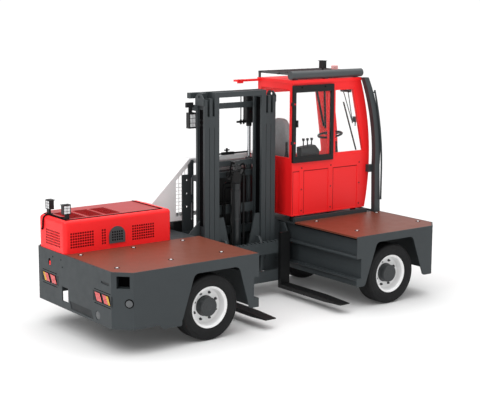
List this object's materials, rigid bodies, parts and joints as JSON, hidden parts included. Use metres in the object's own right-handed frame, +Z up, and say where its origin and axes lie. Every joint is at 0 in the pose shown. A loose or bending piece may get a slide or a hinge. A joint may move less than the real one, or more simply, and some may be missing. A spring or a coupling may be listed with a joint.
{
  "type": "multidirectional forklift",
  "caption": "Multidirectional side-loading forklift with steered wheels, a mast that reaches out between load platforms, an engine hood and a glazed cab.",
  "frame": {"origin": "on the floor under the middle of the chassis plan", "axes": "+X long axis towards the cab end, -Y towards the load side that the forks point to, +Z up"},
  "size_m": [4.826, 2.01, 2.9829],
  "materials": {
    "chassis_grey": "satin dark grey paint",
    "red_paint": "gloss red paint",
    "light_grey": "light grey paint",
    "guard_grey": "grey paint",
    "deck_brown": "reddish brown film-faced board",
    "rubber_tyre": "black solid rubber",
    "rim_white": "white paint",
    "black_steel": "black paint",
    "black_plastic": "black plastic",
    "chrome_rod": "hard chrome",
    "clear_glass": "clear",
    "red_lens": "lamp lens",
    "beacon_lens": "pale red lens",
    "seat_grey": "grey seat cover",
    "engine_iron": "cast iron"
  },
  "bodies": {
    "chassis": {"rear_platform": "chassis_grey", "front_platform": "chassis_grey", "reach_rails": "chassis_grey", "chassis_spine": "chassis_grey", "deck_boards": "deck_brown", "engine_block": "engine_iron", "tail_lamps": "red_lens", "hood_base": "red_paint", "hood_grilles": "red_paint", "hood_scoop": "guard_grey", "rear_guard": "light_grey", "guard_mesh": "light_grey", "hydraulic_tank": "black_steel", "cab_load_side": "red_paint", "cab_door_side": "red_paint", "cab_rear_wall": "red_paint", "cab_front": "red_paint", "cab_floor": "black_steel", "cab_roof": "red_paint", "cab_glass": "clear_glass", "roof_guard": "guard_grey", "roof_lamp": "black_plastic", "beacon": "beacon_lens", "guard_post": "chassis_grey", "seat": "seat_grey", "controls": "black_plastic"},
    "hood": {"hood_lid": "red_paint", "lid_lamps": "black_plastic"},
    "window": {"window_frame": "black_steel", "window_glass": "clear_glass"},
    "door": {"cab_door": "red_paint", "door_glass": "clear_glass"},
    "reach": {"reach_frame": "chassis_grey", "mast_outer": "chassis_grey", "lift_cylinders": "chassis_grey", "mast_lamp": "black_plastic"},
    "middle_stage": {"mast_middle": "chassis_grey", "lift_rods": "chrome_rod"},
    "inner_stage": {"mast_inner": "chassis_grey", "free_lift_cylinder": "chassis_grey"},
    "crosshead": {"lift_head": "black_steel"},
    "carriage": {"fork_carriage": "black_steel", "forks": "black_steel", "lift_chains": "black_steel"},
    "steer_rear_load": {"knuckle_rear_load": "chassis_grey"},
    "wheel_rear_load": {"tyre_rear_load": "rubber_tyre", "rim_rear_load": "rim_white"},
    "steer_front_load": {"knuckle_front_load": "chassis_grey"},
    "wheel_front_load": {"tyre_front_load": "rubber_tyre", "rim_front_load": "rim_white"},
    "steer_rear_far": {"knuckle_rear_far": "chassis_grey"},
    "wheel_rear_far": {"tyre_rear_far": "rubber_tyre", "rim_rear_far": "rim_white"},
    "steer_front_far": {"knuckle_front_far": "chassis_grey"},
    "wheel_front_far": {"tyre_front_far": "rubber_tyre", "rim_front_far": "rim_white"}
  },
  "joints": [
    {"name": "hood_hinge", "type": "hinge", "parent": "chassis", "child": "hood", "pos_m": [-1.7025, 0.25, 1.312], "axis": [1, 0, 0], "range_deg": [0, 70]},
    {"name": "window_hinge", "type": "hinge", "parent": "chassis", "child": "window", "pos_m": [0.925, 0.227, 2.197], "axis": [0, 0, -1], "range_deg": [0, 95]},
    {"name": "door_hinge", "type": "hinge", "parent": "chassis", "child": "door", "pos_m": [1.0153, 0.985, 1.839], "axis": [0, 0, 1], "range_deg": [0, 100]},
    {"name": "steer_rear_load", "type": "hinge", "parent": "chassis", "child": "steer_rear_load", "pos_m": [-1.203, -0.595, 0.381], "axis": [0, 0, -1], "range_deg": [-25, 90]},
    {"name": "spin_rear_load", "type": "hinge", "parent": "steer_rear_load", "child": "wheel_rear_load", "pos_m": [-1.203, -0.825, 0.381], "axis": [0, 1, 0], "continuous": true},
    {"name": "steer_front_load", "type": "hinge", "parent": "chassis", "child": "steer_front_load", "pos_m": [1.579, -0.595, 0.381], "axis": [0, 0, 1], "range_deg": [-25, 90]},
    {"name": "spin_front_load", "type": "hinge", "parent": "steer_front_load", "child": "wheel_front_load", "pos_m": [1.579, -0.825, 0.381], "axis": [0, 1, 0], "continuous": true},
    {"name": "steer_rear_far", "type": "hinge", "parent": "chassis", "child": "steer_rear_far", "pos_m": [-1.203, 0.595, 0.381], "axis": [0, 0, -1], "range_deg": [-25, 90]},
    {"name": "spin_rear_far", "type": "hinge", "parent": "steer_rear_far", "child": "wheel_rear_far", "pos_m": [-1.203, 0.825, 0.381], "axis": [0, 1, 0], "continuous": true},
    {"name": "steer_front_far", "type": "hinge", "parent": "chassis", "child": "steer_front_far", "pos_m": [1.579, 0.595, 0.381], "axis": [0, 0, 1], "range_deg": [-25, 90]},
    {"name": "spin_front_far", "type": "hinge", "parent": "steer_front_far", "child": "wheel_front_far", "pos_m": [1.579, 0.825, 0.381], "axis": [0, 1, 0], "continuous": true},
    {"name": "reach_slide", "type": "slide", "parent": "chassis", "child": "reach", "axis": [0, -1, 0], "range_m": [0, 1.2]},
    {"name": "mast_lift", "type": "slide", "parent": "reach", "child": "middle_stage", "axis": [0, 0, 1], "range_m": [0, 1.1]},
    {"name": "inner_lift", "type": "slide", "parent": "middle_stage", "child": "inner_stage", "axis": [0, 0, 1], "range_m": [0, 1.1]},
    {"name": "carriage_lift", "type": "slide", "parent": "inner_stage", "child": "carriage", "axis": [0, 0, 1], "range_m": [0, 1.5], "deforming": ["lift_chains"]},
    {"name": "head_lift", "type": "slide", "parent": "inner_stage", "child": "crosshead", "axis": [0, 0, 1], "range_m": [0, 0.75]}
  ],
  "couplings": [
    {"joint": "inner_lift", "follows": "mast_lift", "ratio": 1},
    {"joint": "head_lift", "follows": "carriage_lift", "ratio": 0.5}
  ]
}
